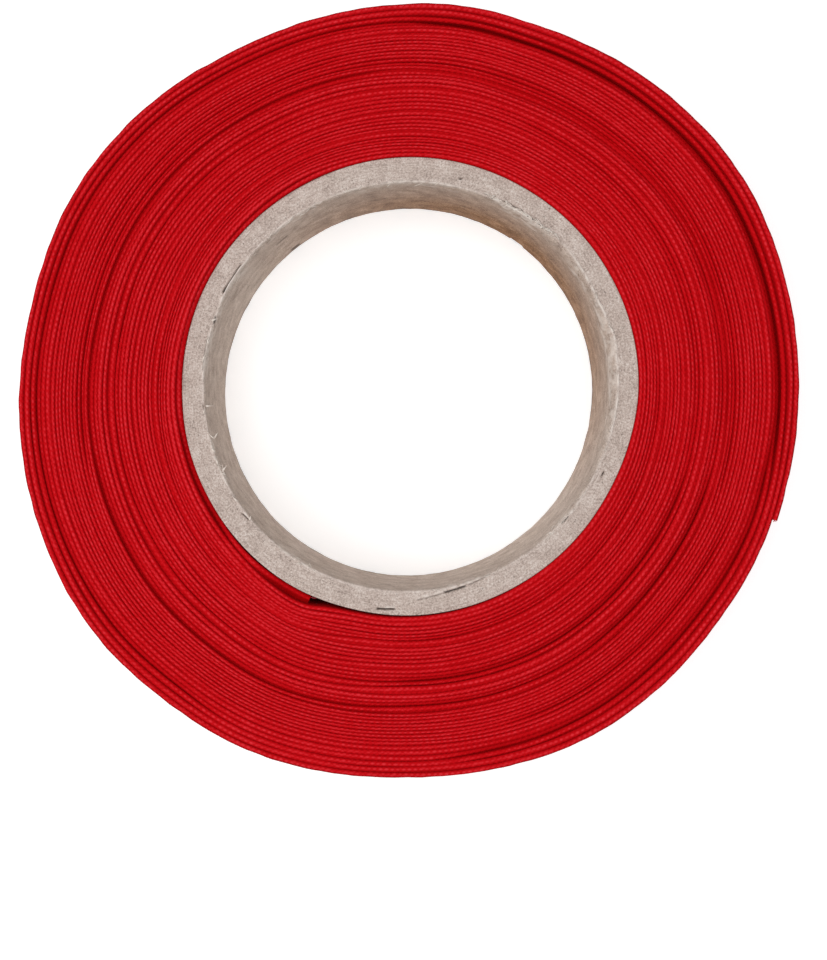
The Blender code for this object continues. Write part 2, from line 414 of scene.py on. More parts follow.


# Recycled grey board: matt, mottled by short fibres and flecks of 0.1 to 0.3 mm. The bore shows
# the innermost ply, which is smoother. Low down on one side it is darker and browner, partly as a
# real stain and partly as painted shade. Torn ply is pale.
RIM_COLOURS = ((0.39, "91827A"), (0.5, "BFADA3"), (0.61, "DDD2CA"))
BORE_COLOURS = ((0.38, "96857A"), (0.5, "C0AEA1"), (0.62, "DDCFC4"))
STAIN_AND_SHADE_COLOURS = ((0.40, "5B3922"), (0.5, "8D6543"), (0.60, "B89070"))
TORN_PLY = "E4D9D0"
SPLIT_SHADE = "2A211C"
PRINT_FLECK = "5E5048"
STAIN_AND_SHADE_SIDE_DEG = 55
STAIN_AND_SHADE_FROM_MM = 17.5
STAIN_AND_SHADE_FULLY_AT_MM = 5.0
STAIN_AND_SHADE_LEAST_SHARE = 0.25
FIBRE_MM = 0.24
FLECK_MM = 0.10
MOTTLE_MM = 1.8
PRINT_FLECK_MM = 0.45
PRINT_FLECKS_FROM = 0.66
PRINT_FLECKS_FULLY_AT = 0.72
PRINT_FLECKS_SHARE = 0.6

# Scuffs are long round the tube and thin from top to bottom.
SCUFF_MM = (2.4, 0.14)
SCUFFS_ON_BORE = 1.1
SCUFFS_ON_RIM = 0.5
GRAINS_ON_BORE = 1.3
MOTTLE_ON_RIM = 0.5
BOARD_BUMP_MM = 0.05


def grey_board_material():
    material, tree, shader = new_material("recycled_grey_board", roughness=0.9, specular=0.25)
    place = node(tree, "TexCoord", out="Object")
    grains = []
    for size_mm in (FIBRE_MM, FLECK_MM, MOTTLE_MM, PRINT_FLECK_MM):
        inputs = {"Vector": place, "Scale": 1 / (size_mm * MM), "Detail": 3.0}
        grains.append(node(tree, "TexNoise", inputs))
    fibres, flecks, mottle, print_flecks = grains
    fine = node(tree, "Math", {0: fibres, 1: flecks}, operation="ADD")
    total = node(tree, "Math", {0: mottle, 1: fine}, operation="ADD")
    board_map = node(tree, "UVMap", uv_map="board_map")
    inputs = {0: board_map, 1: (1 / SCUFF_MM[0], 1 / SCUFF_MM[1], 0.0)}
    stretched = node(tree, "VectorMath", inputs, operation="MULTIPLY")
    scuffs = node(tree, "TexNoise", {"Vector": stretched, "Scale": 1.0, "Detail": 3.0})

    bore = node(tree, "Math", {0: total, 1: GRAINS_ON_BORE}, operation="MULTIPLY")
    bore = node(tree, "Math", {0: scuffs, 1: SCUFFS_ON_BORE, 2: bore}, operation="MULTIPLY_ADD")
    bore = node(tree, "Math", {0: bore, 1: 1 / 5}, operation="MULTIPLY")
    rim = node(tree, "Math", {0: mottle, 1: MOTTLE_ON_RIM}, operation="MULTIPLY")
    rim = node(tree, "Math", {0: scuffs, 1: SCUFFS_ON_RIM, 2: rim}, operation="MULTIPLY_ADD")
    rim = node(tree, "Math", {0: fine, 1: rim}, operation="ADD")
    rim = node(tree, "Math", {0: rim, 1: 1 / 3}, operation="MULTIPLY")
    rim_colour = node(tree, "ValToRGB", {"Fac": rim}, stops=RIM_COLOURS)
    bore_colour = node(tree, "ValToRGB", {"Fac": bore}, stops=BORE_COLOURS)
    stain_and_shade_colour = node(tree, "ValToRGB", {"Fac": bore}, stops=STAIN_AND_SHADE_COLOURS)

    # Darker and browner low down on one side of the bore: partly a real stain, partly painted shade.
    turned = math.radians(STAIN_AND_SHADE_SIDE_DEG)
    radius = BORE_RADIUS_MM * MM
    inputs = {0: place, 1: (math.cos(turned) / radius, math.sin(turned) / radius, 0.0)}
    sideways = node(tree, "VectorMath", inputs, "Value", operation="DOT_PRODUCT")
    one_side = node(tree, "MapRange", {"Value": sideways, 1: 0.0, 2: 1.0})
    height = node(tree, "SeparateXYZ", {"Vector": place}, "Z")
    inputs = {"Value": height, 1: STAIN_AND_SHADE_FROM_MM * MM, 2: STAIN_AND_SHADE_FULLY_AT_MM * MM, 3: STAIN_AND_SHADE_LEAST_SHARE}
    low_down = node(tree, "MapRange", inputs)
    stain_and_shade = node(tree, "Math", {0: low_down, 1: one_side}, operation="MULTIPLY")
    inputs = {
        "Value": print_flecks,
        1: PRINT_FLECKS_FROM,
        2: PRINT_FLECKS_FULLY_AT,
        4: PRINT_FLECKS_SHARE,
    }
    flecked = node(tree, "MapRange", inputs)

    colour = rim_colour
    inputs = {"Factor": stain_and_shade, 6: bore_colour, 7: stain_and_shade_colour}
    bore_colour = node(tree, "Mix", inputs, 2, data_type="RGBA")
    on_bore, torn, painted_shade = [
        node(tree, "Attribute", out="Fac", attribute_name=name)
        for name in ("bore_share", "torn_share", "painted_shade_share")
    ]
    # The last layer is the painted shade in splits and nicks and along the foot.
    for factor, laid_over in (
        (on_bore, bore_colour),
        (flecked, linear(PRINT_FLECK)),
        (torn, linear(TORN_PLY)),
        (painted_shade, linear(SPLIT_SHADE)),
    ):
        inputs = {"Factor": factor, 6: colour, 7: laid_over}
        colour = node(tree, "Mix", inputs, 2, data_type="RGBA")
    tree.links.new(colour, shader.inputs["Base Color"])
    inputs = {"Height": total, "Strength": 0.7, "Distance": BOARD_BUMP_MM * MM}
    tree.links.new(node(tree, "Bump", inputs), shader.inputs["Normal"])
    return material


grey_board = grey_board_material()
core_points, bore_share, torn_share, painted_shade_share = core_surface()
core_mesh = skin(CORE_NAME, core_points, closed=True)
write_share(core_mesh, "bore_share", bore_share)
write_share(core_mesh, "torn_share", torn_share)
write_share(core_mesh, "painted_shade_share", painted_shade_share)
around_mm = np.arange(CORE_STEPS) * 2 * math.pi * BORE_RADIUS_MM / CORE_STEPS
section_steps_mm = np.linalg.norm(np.diff(core_points[0], axis=0), axis=1)
down_section_mm = np.concatenate([[0.0], np.cumsum(section_steps_mm)])
write_map(core_mesh, "board_map", around_mm, down_section_mm)
core_tube = stand(CORE_NAME, core_mesh, grey_board)
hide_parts("cardboard_core")

# ---- Paper fibres ---------------------------------------------------------------------------
# Short hairs of pale ply that the knife pulled out of the core's upper inner edge. They lie
# loosely along the edge where the burr stands.

FIBRES = 150
FIBRE_LENGTH_MM = (0.4, 1.5)
FIBRE_THICK_MM = 0.035
FIBRE_OFF_EDGE_MM = 0.12
FIBRE_TURN_DEG = 24
FIBRE_CURL_MM = 0.12
FIBRE_LEAST_LIFT_MM = 0.03
FIBRE_LIFT_SHARES = (0.3, 1.1)
FIBRE_POINTS = 5
END_LIFT_SHARE = 0.3
HAIR_TIP_RADIANS = 0.15
HAIR_THINNEST_SHARE = 0.1
fibre_chance = np.random.default_rng(11)


def hair(points, thickness_mm):
    """A thin three-sided tube along points in millimetres, tapering to its ends."""
    ring = np.radians([90, 210, 330])[None, :, None]
    along = np.gradient(points, axis=0)
    along /= np.linalg.norm(along, axis=1, keepdims=True)
    no_hair_runs_this_way = (0.31, 0.17, 0.93)
    side = np.cross(along, no_hair_runs_this_way)
    side /= np.linalg.norm(side, axis=1, keepdims=True)
    up = np.cross(along, side)
    swell = np.sin(np.linspace(HAIR_TIP_RADIANS, math.pi - HAIR_TIP_RADIANS, len(points)))
    taper = thickness_mm * np.sqrt(np.clip(swell, HAIR_THINNEST_SHARE, 1))
    offsets = np.cos(ring) * side[:, None] + np.sin(ring) * up[:, None]
    return points[:, None] + taper[:, None, None] * offsets


def joined(name, tubes):
    """One mesh from many tubes, each an array of sections by points in millimetres."""
    vertices, faces = [], []
    for tube in tubes:
        sections, around = tube.shape[:2]
        start = len(vertices)
        vertices += (tube.reshape(-1, 3) * MM).tolist()
        for k in range(sections - 1):
            here = start + k * around
            for c in range(around):
                above = (c + 1) % around
                faces.append((here + c, here + above, here + around + above, here + around + c))
        faces.append(tuple(start + c for c in reversed(range(around))))
        faces.append(tuple(start + (sections - 1) * around + c for c in range(around)))
    mesh = bpy.data.meshes.new(name)
    mesh.from_pydata(vertices, [], faces)
    mesh.shade_smooth()
    return mesh


# The larger shreds, by their place, length, turn inwards from the run of the edge, and the
# thickness of the three hairs in each. A thicker shred is also more frayed.
Shred = namedtuple("Shred", "angle_deg beyond_mm long_mm turned_deg thick_mm")
SHREDS = (
    Shred(16.0, 0.85, 1.4, 20, 0.06),
    Shred(25.5, 0.50, 1.2, -25, 0.06),
    Shred(45.5, 0.85, 1.5, -8, 0.06),
    Shred(48.0, 0.70, 1.6, 8, 0.08),
    Shred(50.0, 0.45, 1.0, 45, 0.08),
    Shred(51.5, 0.60, 1.8, -6, 0.09),
    Shred(54.0, 0.40, 1.1, -35, 0.08),
    Shred(55.5, 0.50, 1.6, 10, 0.09),
    Shred(58.5, 0.45, 1.3, 25, 0.08),
    Shred(60.5, 0.35, 2.0, -6, 0.09),
    Shred(62.0, 0.55, 1.0, -50, 0.06),
    Shred(64.5, 0.35, 1.9, 6, 0.08),
    Shred(66.0, 0.45, 0.9, 60, 0.06),
    Shred(67.5, 0.50, 1.4, -8, 0.06),
    Shred(161.0, 0.30, 1.1, -50, 0.05),
    Shred(167.0, 0.35, 1.1, 30, 0.05),
    Shred(172.0, 0.40, 1.4, -15, 0.05),
    Shred(185.5, -0.45, 1.2, 86, 0.05),
    Shred(187.0, 0.25, 0.9, -30, 0.04),
    Shred(194.1, -0.12, 1.1, 34, 0.05),
    Shred(194.2, -0.72, 1.0, -43, 0.04),
    Shred(198.0, 0.10, 0.9, 15, 0.05),
    Shred(201.5, 0.15, 1.0, -12, 0.05),
    Shred(204.0, -0.35, 1.1, -62, 0.05),
    Shred(205.2, 0.00, 0.8, 35, 0.05),
    Shred(213.0, 0.25, 1.3, 10, 0.05),
    Shred(219.7, 0.15, 0.8, -60, 0.05),
    Shred(238.2, 0.45, 0.7, 30, 0.05),
)

# What the two outer hairs of a shred differ by. The first three are for each millimetre of a
# hair's thickness: degrees of turn, degrees of place round the bore, and millimetres of curl.
SHRED_FRAY_DEG = 160
SHRED_SPREAD_DEG = 1.7
SHRED_CURL_MM = 1.2
SHRED_SHORTER_SHARE = 0.2
SHRED_LIFT_MM = 0.25
SHRED_LIFT_STEP_MM = 0.05


def lying_hair(at_deg, beyond_mm, long_mm, turned_deg, curl_mm, lift_mm, thick_mm):
    """A hair on the edge of the bore: how far beyond it, its turn inwards, its bow and its lift."""
    share = np.linspace(-0.5, 0.5, FIBRE_POINTS)
    bow = 1 - 4 * share**2
    run = share * long_mm * math.cos(math.radians(turned_deg))
    inwards = share * long_mm * math.sin(math.radians(turned_deg)) + curl_mm * bow
    angle = at_deg + np.degrees(run / BORE_RADIUS_MM)
    radius = BORE_RADIUS_MM + beyond_mm - inwards + oval(angle, BORE_OVAL_MM)
    height = CORE_TOP_MM + lift_mm * (END_LIFT_SHARE + (1 - END_LIFT_SHARE) * bow)
    return hair(around_axis(radius, height, angle), thick_mm)


hairs = []
for _ in range(FIBRES):
    burr = BURRS[fibre_chance.integers(len(BURRS))]
    at_deg = burr.from_deg + fibre_chance.uniform(0, (burr.to_deg - burr.from_deg) % 360)
    edge_mm = float(round_the_roll(BEVELS, np.array([at_deg]))[0])
    hairs.append(
        lying_hair(
            at_deg,
            edge_mm + fibre_chance.normal(0.0, FIBRE_OFF_EDGE_MM),
            long_mm=fibre_chance.uniform(*FIBRE_LENGTH_MM),
            turned_deg=fibre_chance.normal(0, FIBRE_TURN_DEG),
            curl_mm=fibre_chance.normal(0, FIBRE_CURL_MM),
            lift_mm=FIBRE_LEAST_LIFT_MM + burr.height_mm * fibre_chance.uniform(*FIBRE_LIFT_SHARES),
            thick_mm=FIBRE_THICK_MM,
        )
    )
for shred in SHREDS:
    for side in (-1, 0, 1):
        hairs.append(
            lying_hair(
                shred.angle_deg + SHRED_SPREAD_DEG * shred.thick_mm * side,
                shred.beyond_mm,
                long_mm=shred.long_mm * (1 - SHRED_SHORTER_SHARE * abs(side)),
                turned_deg=shred.turned_deg + SHRED_FRAY_DEG * shred.thick_mm * side,
                curl_mm=SHRED_CURL_MM * shred.thick_mm * side,
                lift_mm=SHRED_LIFT_MM + SHRED_LIFT_STEP_MM * side,
                thick_mm=shred.thick_mm,
            )
        )


def mottled_material(name, specular, grain_mm, stops):
    """A matt material in two close shades, mottled by grains of a given size."""
    material, tree, shader = new_material(name, roughness=0.95, specular=specular)
    place = node(tree, "TexCoord", out="Object")
    inputs = {"Vector": place, "Scale": 1 / (grain_mm * MM), "Detail": 2.0}
    grains = node(tree, "TexNoise", inputs)
    colour = node(tree, "ValToRGB", {"Fac": grains}, stops=stops)
    tree.links.new(colour, shader.inputs["Base Color"])
    return material


# Bleached pulp: pale and matt. A real fibre is slightly see-through, and is drawn here as solid and
# cream, in grains about as long as a fibre is bent.
PULP_GRAIN_MM = 0.4
PULP_COLOURS = ((0.3, "D6C9BE"), (0.7, "F6ECE2"))
pale_pulp = mottled_material("pale_paper_pulp", 0.2, PULP_GRAIN_MM, PULP_COLOURS)
stand("core_fibres", joined("core_fibres", hairs), pale_pulp)

# ---- Wound binding --------------------------------------------------------------------------
# One strip of red cotton, cut on the bias 36 mm wide. Both raw edges are folded in, to 18 mm, and
# it is wound flat on the core, its folded side inwards. Each turn shows a rounded fold above.

BINDING_WIDTH_MM = 18.0
START_DEG = 245
END_DEG = 340
FIRST_TURN_MM = BORE_RADIUS_MM + 3.2
SLACK_ON_CORE_MM = 0.2
START_CLIMB_DEG = 12
OUTER_CLIMB_DEG = 45

# The turns from the core outwards, in groups wound alike: how far apart they lie, how wide the
# group opens at its outer side, and how far its folds stand above the others.
Group = namedtuple("Group", "turns pitch_mm opening_mm rise_mm")
GROUPS = (
    Group(7, 0.428, 0.39, 0.12),
    Group(5, 0.455, 0.25, -0.05),
    Group(5, 0.549, 0.30, 0.00),
    Group(4, 0.524, 0.22, 0.03),
    Group(10, 0.449, 0.12, 0.00),
    Group(2, 0.648, 0.00, 0.03),
    Group(4, 0.640, 0.05, 0.12),
)

# How loosely the turns lie round the roll: the winding's thickness, as a share of its plain one.
Looseness = namedtuple("Looseness", "angle_deg share")
LOOSENESS = (
    Looseness(0, 1.009),
    Looseness(15, 1.017),
    Looseness(32, 1.034),
    Looseness(50, 1.007),
    Looseness(70, 0.968),
    Looseness(82, 0.973),
    Looseness(98, 0.950),
    Looseness(117, 0.934),
    Looseness(133, 0.963),
    Looseness(150, 0.984),
    Looseness(168, 0.979),
    Looseness(186, 1.011),
    Looseness(200, 1.037),
    Looseness(218, 1.063),
    Looseness(232, 1.051),
    Looseness(243, 1.054),
    Looseness(258, 1.039),
    Looseness(270, 1.033),
    Looseness(296, 1.073),
    Looseness(312, 1.054),
    Looseness(322, 1.036),
    Looseness(337, 1.031),
    Looseness(345, 1.017),
)

# The turns next to the core stand off it where they pass over the strip's start.
StandOff = namedtuple("StandOff", "angle_deg off_mm")
STAND_OFFS = (
    StandOff(0, 0.0),
    StandOff(110, 0.0),
    StandOff(150, -0.22),
    StandOff(180, -0.20),
    StandOff(210, 0.03),
    StandOff(225, 0.33),
    StandOff(240, 0.76),
    StandOff(244, 0.70),
    StandOff(247, 0.40),
    StandOff(250, 0.12),
    StandOff(256, 0.0),
    StandOff(300, -0.15),
)
STAND_OFF_FADES_AT_TURN = 11
OVAL_FADES_AT_TURN = 6
INNER_TURNS_OVAL_MM = 0.27
HUGS_CORE_FOR_DEG = 290
CORE_GAP_MM = 0.03
START_FOLD_MM = 0.74
START_LIFT_MM = 0.22
START_LIFT_DEG = 70

# Broad dents and swellings, where the turns of the winding are pressed off their plain spiral.
Dent = namedtuple("Dent", "angle_deg spread_deg turn spread_turns out_mm")
DENTS = (
    Dent(254, 30, 14, 12, 0.56),
    Dent(308, 28, 30, 12, -0.45),
    Dent(163, 32, 2, 9, -0.34),
    Dent(187, 74, 3, 3, 0.61),
    Dent(27, 23, 13, 11, 0.46),
    Dent(94, 44, 23, 9, 0.42),
    Dent(68, 49, 37, 3, -0.70),
    Dent(224, 43, 0, 4, -0.70),
    Dent(57, 64, 19, 12, -0.42),
    Dent(228, 35, 37, 7, -0.29),
    Dent(289, 37, 2, 3, 0.21),
    Dent(235, 79, 16, 3, -0.19),
    Dent(75, 20, 12, 4, 0.33),
)
DENTS_FADE_IN_TURNS = 1.5
DENTS_FADE_OUT_TURNS = 3

# Stretches of a turn whose upper fold has sunk below the others, or stands above them. A stretch
# begins on one turn at one angle and follows the strip anticlockwise.
Sunk = namedtuple("Sunk", "turn from_deg sweep_deg sunk_mm")
SUNK = (
    Sunk(0, 204, 60, 0.3),
    Sunk(0, 227, 36, 1.3),
    Sunk(1, 204, 40, -0.2),
    Sunk(1, 227, 36, -0.5),
    Sunk(0, 184, 40, 1.1),
    Sunk(0, 112, 80, 0.25),
    Sunk(1, 106, 115, -0.6),
    Sunk(2, 100, 140, -0.1),
    Sunk(5, 262, 110, 0.25),
    Sunk(6, 243, 350, 0.15),
    Sunk(8, 275, 75, 0.25),
    Sunk(8, 150, 195, -0.25),
    Sunk(15, 105, 245, 0.4),
    Sunk(14, 262, 85, 0.7),
    Sunk(14, 338, 95, 0.45),
    Sunk(18, 20, 330, -0.25),
    Sunk(13, 150, 90, -0.25),
    Sunk(19, 240, 60, -0.1),
    Sunk(20, 345, 112, 0.6),
    Sunk(19, 300, 140, 0.3),
    Sunk(20, 88, 260, 0.85),
    Sunk(21, 86, 165, -0.45),
    Sunk(22, 335, 118, 0.6),
    Sunk(22, 82, 118, 0.7),
    Sunk(25, 95, 70, 0.4),
    Sunk(27, 282, 60, 0.75),
    Sunk(30, 95, 80, 0.2),
    Sunk(32, 272, 84, 1.2),
    Sunk(33, 342, 112, 1.0),
    Sunk(33, 342, 262, 0.8),
)
SUNK_FADE_DEG = 12

# A sunk turn takes the turns beside it some of the way down: degrees along the strip, and share.
SUNK_NEIGHBOUR_SHARES = ((0, 1.0), (-360, 0.4), (360, 0.4))
UNDERSIDE_SHARE = 0.6

# The folded strip: cloth thickness, and where each raw edge lies on the inner side.
PLY_MM = 0.25
PLY_MOST_SHARE = 0.46
UPPER_RAW_EDGE_MM = BINDING_WIDTH_MM - 7.2
LOWER_RAW_EDGE_MM = 8.3
RAW_EDGE_MM = 0.3
FURROW_MM = 0.07
CLEARANCE_MM = 0.002

# Its round folds, from the shoulder on one side to the shoulder on the other.
FOLD_HEIGHT_MM = 0.16
FOLD_SHOULDER_DEG = 25
FOLD_DEGS = (25, 55, 80, 100, 125, 155)
FOLD_ARC_MM = 0.72
FOLD_STEP_MM = FOLD_ARC_MM / len(FOLD_DEGS)
BELOW_FOLD_MM = 1.5
OPENING_STEEPNESS = 0.25
OPENING_BELOW_MM = 0.05
OPENING_ABOVE_SHARE = 0.7
OPENING_ABOVE_MM = 0.25

# Where each fold lies across the cloth, from its lower raw edge.
LOWER_FOLD_MM = LOWER_RAW_EDGE_MM
UPPER_FOLD_MM = LOWER_FOLD_MM + BINDING_WIDTH_MM

# The last turn has nothing to press on it, so its folds are rounder, its side puckers and its edge
# ripples. Its cut end is pressed thin.
LAST_TURN_DEG = 400
LAST_TURN_FADE_DEG = 40
LAST_TURN_ROUNDER_MM = 0.20
PUCKER_MM = 0.09
LOWER_PUCKER_MM = 3.5
UPPER_PUCKER_MM = 3.0
EDGE_WAVE_MM = 0.022
EDGE_WAVE_DEG = 360
EDGE_WAVE_FADE_DEG = 6
END_TAPER = 0.16
END_TAPER_DEG = 14


def build_up():
    """How far the inner and the outer side of each turn lie from the first turn, in millimetres."""
    inner, outer = [], []
    reached = SLACK_ON_CORE_MM
    for group in GROUPS:
        for _ in range(group.turns):
            inner.append(reached)
            reached += group.pitch_mm
            outer.append(reached)
        outer[-1] += group.opening_mm / 2
        reached += group.opening_mm
    inner.append(outer[-1])
    outer.append(outer[-1] + GROUPS[-1].pitch_mm)
    return np.array(inner), np.array(outer)


INNER_MM, OUTER_MM = build_up()
TURNS = len(INNER_MM) - 1
WOUND_DEG = (TURNS - 1) * 360 + (START_DEG - END_DEG) % 360
RISES_MM = np.repeat([group.rise_mm for group in GROUPS], [group.turns for group in GROUPS])
wander = np.random.default_rng(7)


def wandering(length_mm, amplitude, shortest_mm, longest_mm, waves=9):
    """A smooth random line along the strip, from waves of many lengths."""
    total = np.zeros_like(length_mm)
    for wave_mm in np.geomspace(shortest_mm, longest_mm, waves):
        phase = wander.uniform(0, 2 * math.pi)
        total += np.sin(2 * math.pi * length_mm / (wave_mm * wander.uniform(0.85, 1.15)) + phase)
    return amplitude * total / math.sqrt(waves / 2)


def dented(angles, level):
    """How far the dents push the side between two turns outwards, in millimetres."""
    total = np.zeros_like(level)
    for dent in DENTS:
        around = ((angles - dent.angle_deg + 180) % 360 - 180) / dent.spread_deg
        total += dent.out_mm * np.exp(-(around**2) - ((level - dent.turn) / dent.spread_turns) ** 2)
    fade_out = np.clip((TURNS - level) / DENTS_FADE_OUT_TURNS, 0, 1)
    return total * fade_out * np.clip(level / DENTS_FADE_IN_TURNS, 0, 1)


def radii(wound):
    """The radii of the strip's inner and outer side where it has been wound so many degrees."""
    angles = START_DEG - wound
    turn = np.minimum(wound // 360, TURNS - 1)
    climb_width = START_CLIMB_DEG + (OUTER_CLIMB_DEG - START_CLIMB_DEG) * turn / TURNS
    level = turn + eased(1 - (360 - wound % 360) / climb_width)
    share = round_the_roll(LOOSENESS, angles)
    near_core = np.where(level < 1, level, 1 - (level - 1) / (STAND_OFF_FADES_AT_TURN - 1))
    off = round_the_roll(STAND_OFFS, angles) * np.clip(near_core, 0, 1)
    off = off + oval(angles, INNER_TURNS_OVAL_MM) * np.clip(1 - level / OVAL_FADES_AT_TURN, 0, 1)
    turns = np.arange(TURNS + 1)
    inner = FIRST_TURN_MM + off + np.interp(level, turns, INNER_MM) * share + dented(angles, level)
    outer = FIRST_TURN_MM + off + np.interp(level, turns, OUTER_MM) * share + dented(angles, level + 1)
    lifted = START_LIFT_MM * (1 - eased(wound / START_LIFT_DEG))
    on_core = round_the_roll(OUTLINE, angles) + CORE_GAP_MM + lifted
    hugs = 1 - eased((wound - HUGS_CORE_FOR_DEG) / (360 - HUGS_CORE_FOR_DEG))
    inner = inner + (on_core - inner) * hugs
    at_end = eased((wound - WOUND_DEG + END_TAPER_DEG) / END_TAPER_DEG)
    outer = outer - (outer - inner) * END_TAPER * at_end
    return inner + CLEARANCE_MM, outer - CLEARANCE_MM


def next_inner_radius(wound):
    """The radius of the inner side of the turn outside each place, up to which the strip fills."""
    inner, outer = radii(wound)
    following = radii(np.minimum(wound + 360, WOUND_DEG))[0] - 2 * CLEARANCE_MM
    return np.where(wound + 360 <= WOUND_DEG, np.maximum(following, outer), outer)


def sunk(wound):
    """How far the strip's upper fold has sunk where it has been wound so many degrees."""
    depth = np.zeros_like(wound)
    for row in SUNK:
        begins = 360 * row.turn + (START_DEG - row.from_deg) % 360
        for beside, share in SUNK_NEIGHBOUR_SHARES:
            past = begins + beside - wound
            within = np.minimum(past, row.sweep_deg - past)
            depth += share * row.sunk_mm * eased(within / SUNK_FADE_DEG)
    return depth


def walked(wound):
    """How far along the strip each place is, in millimetres."""
    middle = sum(radii(wound)) / 2
    places = around_axis(middle, 0 * middle, START_DEG - wound)
    steps = np.linalg.norm(np.diff(places, axis=0), axis=1)
    return np.concatenate([[0.0], np.cumsum(steps)])


# Small unevenness along the strip: its rise above the others, its lean, the height of its foot,
# the puckers of the last turn and the ripple of that turn's edge.
WOUND_TABLE = np.arange(0, WOUND_DEG + 1.0, 1.0)
LENGTH_TABLE = walked(WOUND_TABLE)
NOISE_RISE = wandering(LENGTH_TABLE, 0.030, 9, 160)
NOISE_LEAN = wandering(LENGTH_TABLE, 0.022, 12, 120)
NOISE_FOOT = wandering(LENGTH_TABLE, 0.030, 9, 160)
NOISE_PUCKER = wandering(LENGTH_TABLE, 1.0, 7, 60)
NOISE_EDGE = wandering(LENGTH_TABLE, 1.0, 2.6, 9, waves=6)


